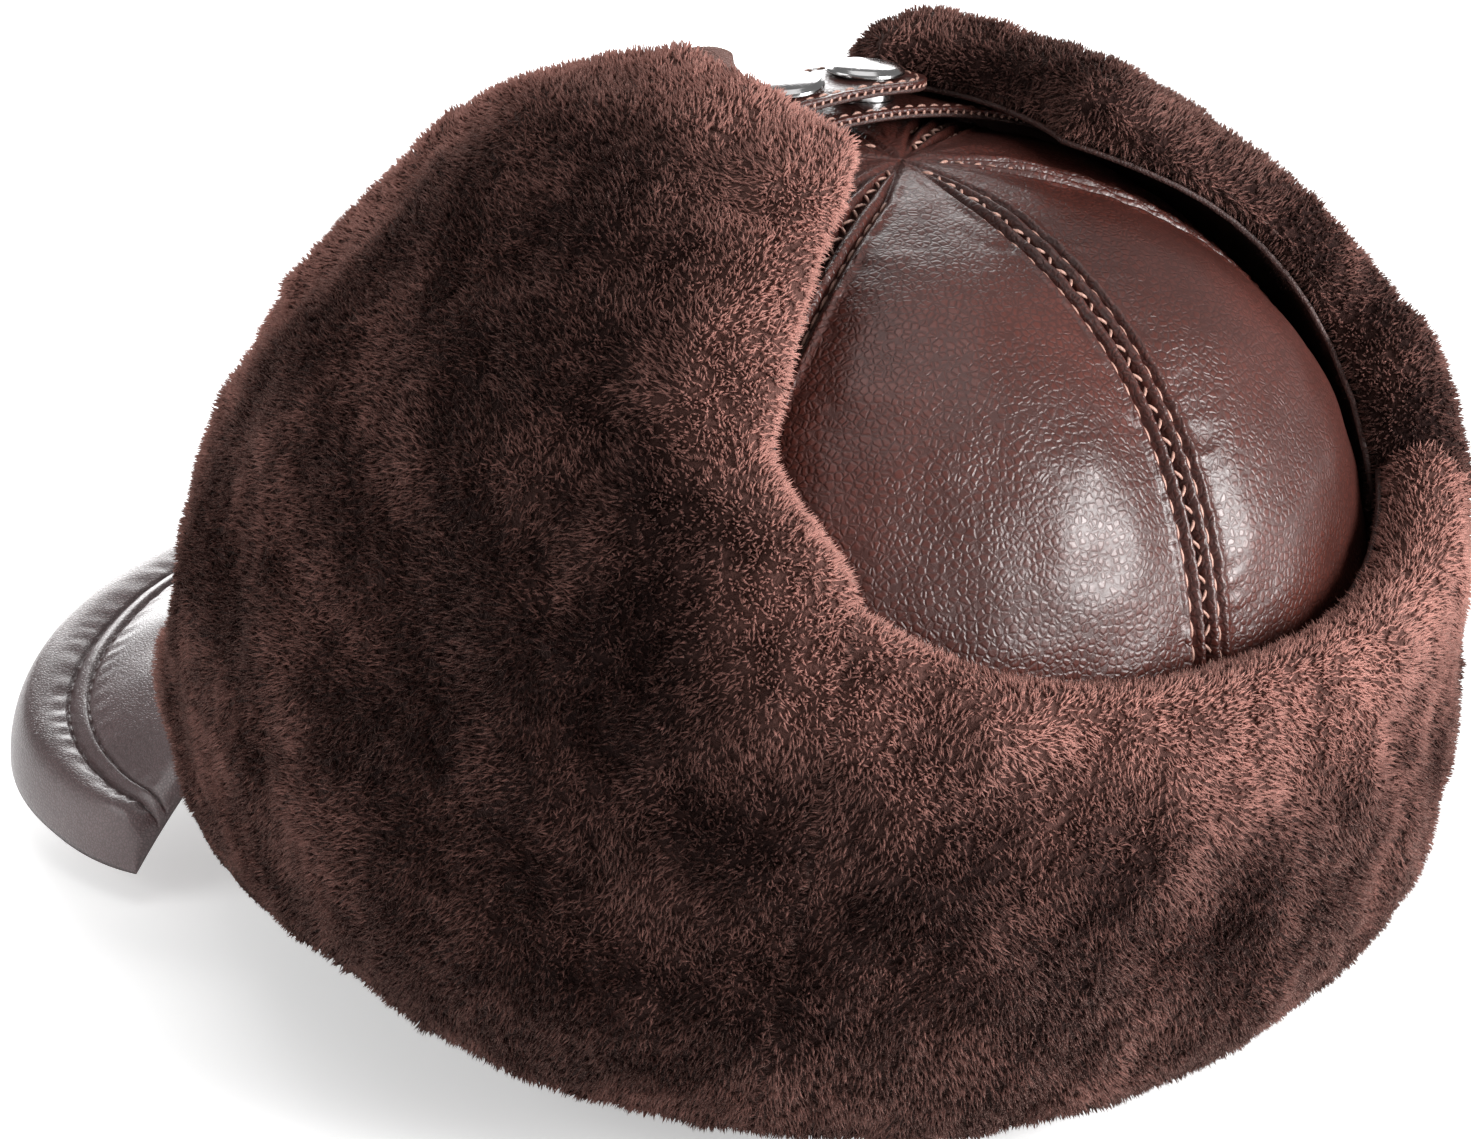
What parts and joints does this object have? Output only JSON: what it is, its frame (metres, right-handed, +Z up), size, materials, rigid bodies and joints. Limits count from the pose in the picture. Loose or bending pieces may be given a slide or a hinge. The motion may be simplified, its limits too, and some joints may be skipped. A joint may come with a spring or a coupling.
{
  "type": "trapper hat",
  "caption": "Leather cap with a curved visor and a fur wrap of two ear flaps and a neck band, folded up and snapped together over the crown by two straps.",
  "frame": {"origin": "centre of the head opening, in the plane of the crown's rim", "axes": "+Z up from the surface the hat stands on, -Y towards the visor, +X towards the wearer's left; the hat stands with its front raised 7.6 degrees"},
  "size_m": [0.2274, 0.3052, 0.1734],
  "materials": {
    "crown_leather": "grained, semi-gloss",
    "visor_leather": "smooth, semi-gloss",
    "inner_leather": "matt",
    "fur": "short dense sheared fur",
    "thread": "twisted sewing thread",
    "visor_thread": "twisted sewing thread",
    "wadding": "soft wadding",
    "lining_cloth": "quilted satin",
    "board": "matt",
    "snap_metal": "polished dark nickel"
  },
  "bodies": {
    "root": {"crown_panel_rear_left": "crown_leather", "crown_panel_rear_right": "crown_leather", "crown_panel_side_left": "crown_leather", "crown_panel_side_right": "crown_leather", "crown_panel_front_left": "crown_leather", "crown_panel_front_right": "crown_leather", "crown_padding": "wadding", "crown_lining": "lining_cloth", "sweatband": "inner_leather", "crown_stitching": "thread", "visor_board": "board", "visor_padding": "wadding", "visor_top_leather": "visor_leather", "visor_bottom_leather": "inner_leather", "visor_stitching": "visor_thread"},
    "neck_band": {"neck_band_fur": "fur", "neck_band_backing": "inner_leather"},
    "left_flap": {"left_flap_fur": "fur", "left_flap_backing": "inner_leather", "left_strap_sewn_end": "crown_leather"},
    "right_flap": {"right_flap_fur": "fur", "right_flap_backing": "inner_leather", "right_strap_leather": "crown_leather", "right_strap_backing": "inner_leather", "right_strap_stitching": "thread", "snap_studs": "snap_metal", "snap_eyelets": "snap_metal"},
    "left_strap": {"left_strap_leather": "crown_leather", "left_strap_backing": "inner_leather", "left_strap_stitching": "thread", "snap_caps": "snap_metal", "snap_sockets": "snap_metal"}
  },
  "joints": [
    {"name": "left_flap_fold", "type": "hinge", "parent": "root", "child": "left_flap", "pos_m": [0.088, -0.00008, -0.00059], "axis": [0, 0.9912, -0.1323], "range_deg": [0, 175]},
    {"name": "right_flap_fold", "type": "hinge", "parent": "root", "child": "right_flap", "pos_m": [-0.088, -0.00008, -0.00059], "axis": [0, -0.9912, 0.1323], "range_deg": [0, 175]},
    {"name": "neck_band_fold", "type": "hinge", "parent": "root", "child": "neck_band", "pos_m": [0, 0.09508, -0.01329], "axis": [-1, 0, 0], "range_deg": [0, 175]},
    {"name": "left_strap_lift", "type": "hinge", "parent": "left_flap", "child": "left_strap", "pos_m": [0.0193, 0.01843, 0.1444], "axis": [0, 0.9998, -0.0218], "range_deg": [0, 75]}
  ],
  "couplings": [
    {"joint": "right_flap_fold", "follows": "left_flap_fold", "ratio": 1},
    {"joint": "neck_band_fold", "follows": "left_flap_fold", "ratio": 1}
  ]
}
